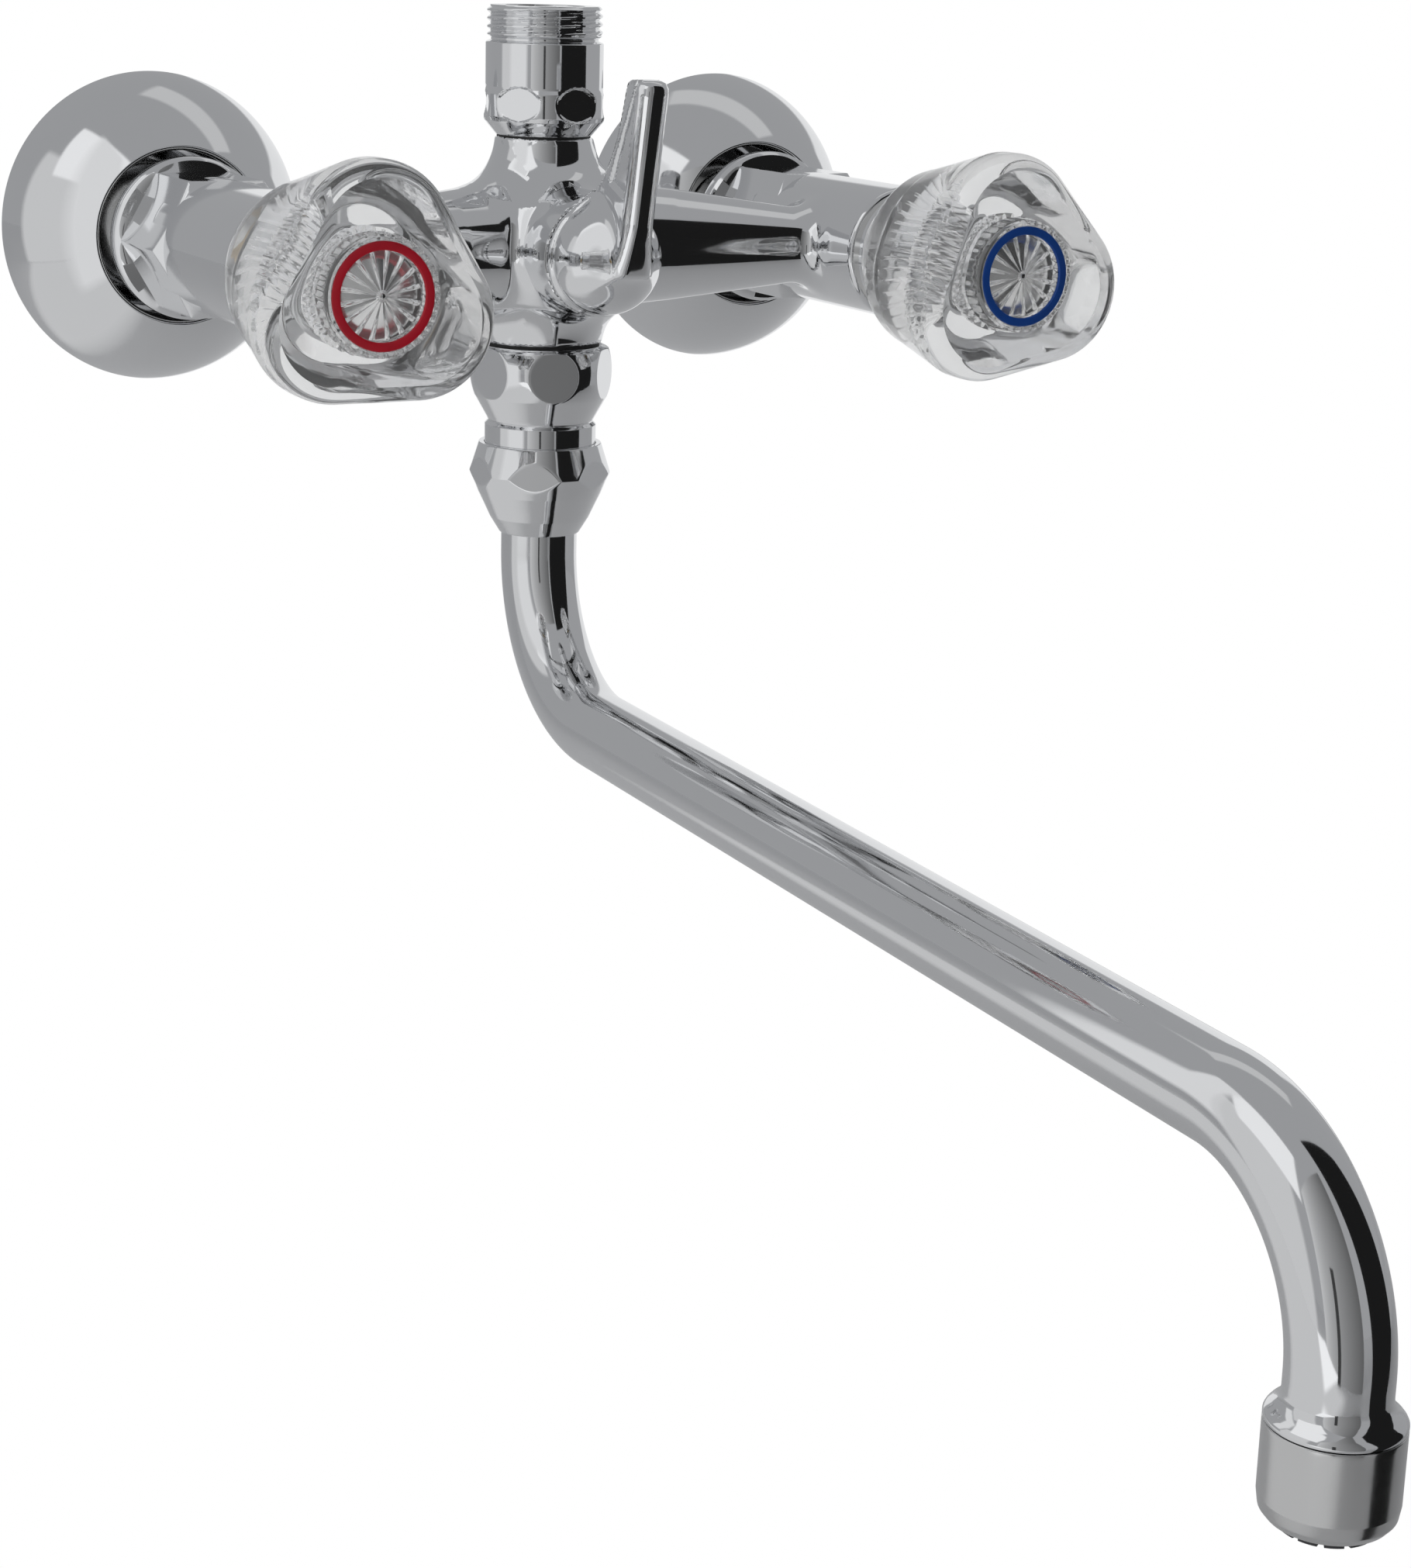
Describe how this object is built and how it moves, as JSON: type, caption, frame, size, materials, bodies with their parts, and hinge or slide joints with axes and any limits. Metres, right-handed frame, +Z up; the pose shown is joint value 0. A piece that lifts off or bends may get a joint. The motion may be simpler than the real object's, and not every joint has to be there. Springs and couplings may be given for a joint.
{
  "type": "bath shower mixer",
  "caption": "Wall-mounted bath shower mixer with crystal handles, dome escutcheons, lever diverter, threaded riser outlet and long swivel spout.",
  "frame": {"origin": "on the wall plane, midway between the two inlets and level with them", "axes": "+X along the wall to the cold side, +Y into the wall, +Z up; the spout runs along -Y"},
  "size_m": [0.222, 0.3955, 0.2297],
  "materials": {
    "chrome_plate": "polished chrome plating on cast brass",
    "satin_chrome": "slightly dull chrome plating",
    "plated_brass": "thinly plated turned brass",
    "bare_brass": "turned brass",
    "screw_steel": "zinc-plated screw steel",
    "black_rubber": "black sealing rubber",
    "fibre": "red-brown fibre gasket",
    "clear_acrylic": "clear polished acrylic",
    "red_plastic": "red gloss plastic",
    "blue_plastic": "blue gloss plastic",
    "dark_plastic": "dark grey plastic"
  },
  "bodies": {
    "root": {"body_casting": "chrome_plate", "riser_washer": "black_rubber", "riser_nipple": "chrome_plate", "adaptor_washer": "black_rubber", "spout_adaptor": "chrome_plate", "spout_o_ring": "black_rubber", "spout_nut": "chrome_plate", "diverter_bonnet": "bare_brass", "hot_eccentric": "plated_brass", "hot_escutcheon": "chrome_plate", "hot_inlet_nut": "chrome_plate", "hot_inlet_gasket": "fibre", "hot_inlet_tail": "plated_brass", "hot_valve_bonnet": "plated_brass", "hot_bonnet_shroud": "chrome_plate", "cold_eccentric": "plated_brass", "cold_escutcheon": "chrome_plate", "cold_inlet_nut": "chrome_plate", "cold_inlet_gasket": "fibre", "cold_inlet_tail": "plated_brass", "cold_valve_bonnet": "plated_brass", "cold_bonnet_shroud": "chrome_plate"},
    "lever": {"lever": "chrome_plate", "diverter_shaft": "bare_brass", "diverter_o_ring": "black_rubber", "lever_screw": "screw_steel"},
    "spool": {"spool": "bare_brass", "spool_upper_seal": "black_rubber", "spool_lower_seal": "black_rubber"},
    "spout": {"spout_tube": "chrome_plate", "spout_flange_ring": "bare_brass", "aerator_housing": "satin_chrome", "aerator_washer": "black_rubber", "aerator_insert": "dark_plastic"},
    "hot_knob": {"hot_crystal_knob": "clear_acrylic", "hot_knob_insert": "chrome_plate", "hot_knob_screw": "screw_steel", "hot_index_cap": "clear_acrylic", "hot_index_ring": "red_plastic", "hot_star_disc": "chrome_plate", "hot_spindle": "bare_brass", "hot_spindle_o_ring": "black_rubber"},
    "hot_plunger": {"hot_plunger": "bare_brass", "hot_valve_washer": "black_rubber", "hot_washer_screw": "screw_steel"},
    "cold_knob": {"cold_crystal_knob": "clear_acrylic", "cold_knob_insert": "chrome_plate", "cold_knob_screw": "screw_steel", "cold_index_cap": "clear_acrylic", "cold_index_ring": "blue_plastic", "cold_star_disc": "chrome_plate", "cold_spindle": "bare_brass", "cold_spindle_o_ring": "black_rubber"},
    "cold_plunger": {"cold_plunger": "bare_brass", "cold_valve_washer": "black_rubber", "cold_washer_screw": "screw_steel"}
  },
  "joints": [
    {"name": "hot_knob_turn", "type": "hinge", "parent": "root", "child": "hot_knob", "pos_m": [-0.075, -0.1, 0], "axis": [0, -1, 0], "range_deg": [0, 630]},
    {"name": "hot_plunger_slide", "type": "slide", "parent": "root", "child": "hot_plunger", "axis": [0, -1, 0], "range_m": [0, 0.0035]},
    {"name": "cold_knob_turn", "type": "hinge", "parent": "root", "child": "cold_knob", "pos_m": [0.075, -0.1, 0], "axis": [0, -1, 0], "range_deg": [0, 630]},
    {"name": "cold_plunger_slide", "type": "slide", "parent": "root", "child": "cold_plunger", "axis": [0, -1, 0], "range_m": [0, 0.0035]},
    {"name": "lever_turn", "type": "hinge", "parent": "root", "child": "lever", "pos_m": [0, -0.0889, 0], "axis": [0, 1, 0], "range_deg": [0, 180]},
    {"name": "spool_slide", "type": "slide", "parent": "root", "child": "spool", "axis": [0, 0, -1], "range_m": [0, 0.007]},
    {"name": "spout_swivel", "type": "hinge", "parent": "root", "child": "spout", "pos_m": [0, -0.0583, -0.06], "axis": [0, 0, 1], "range_deg": [-90, 90]}
  ],
  "couplings": [
    {"joint": "hot_plunger_slide", "follows": "hot_knob_turn", "m_per_rad": 0.000318},
    {"joint": "cold_plunger_slide", "follows": "cold_knob_turn", "m_per_rad": 0.000318},
    {"joint": "spool_slide", "follows": "lever_turn", "m_per_rad": 0.002228}
  ]
}
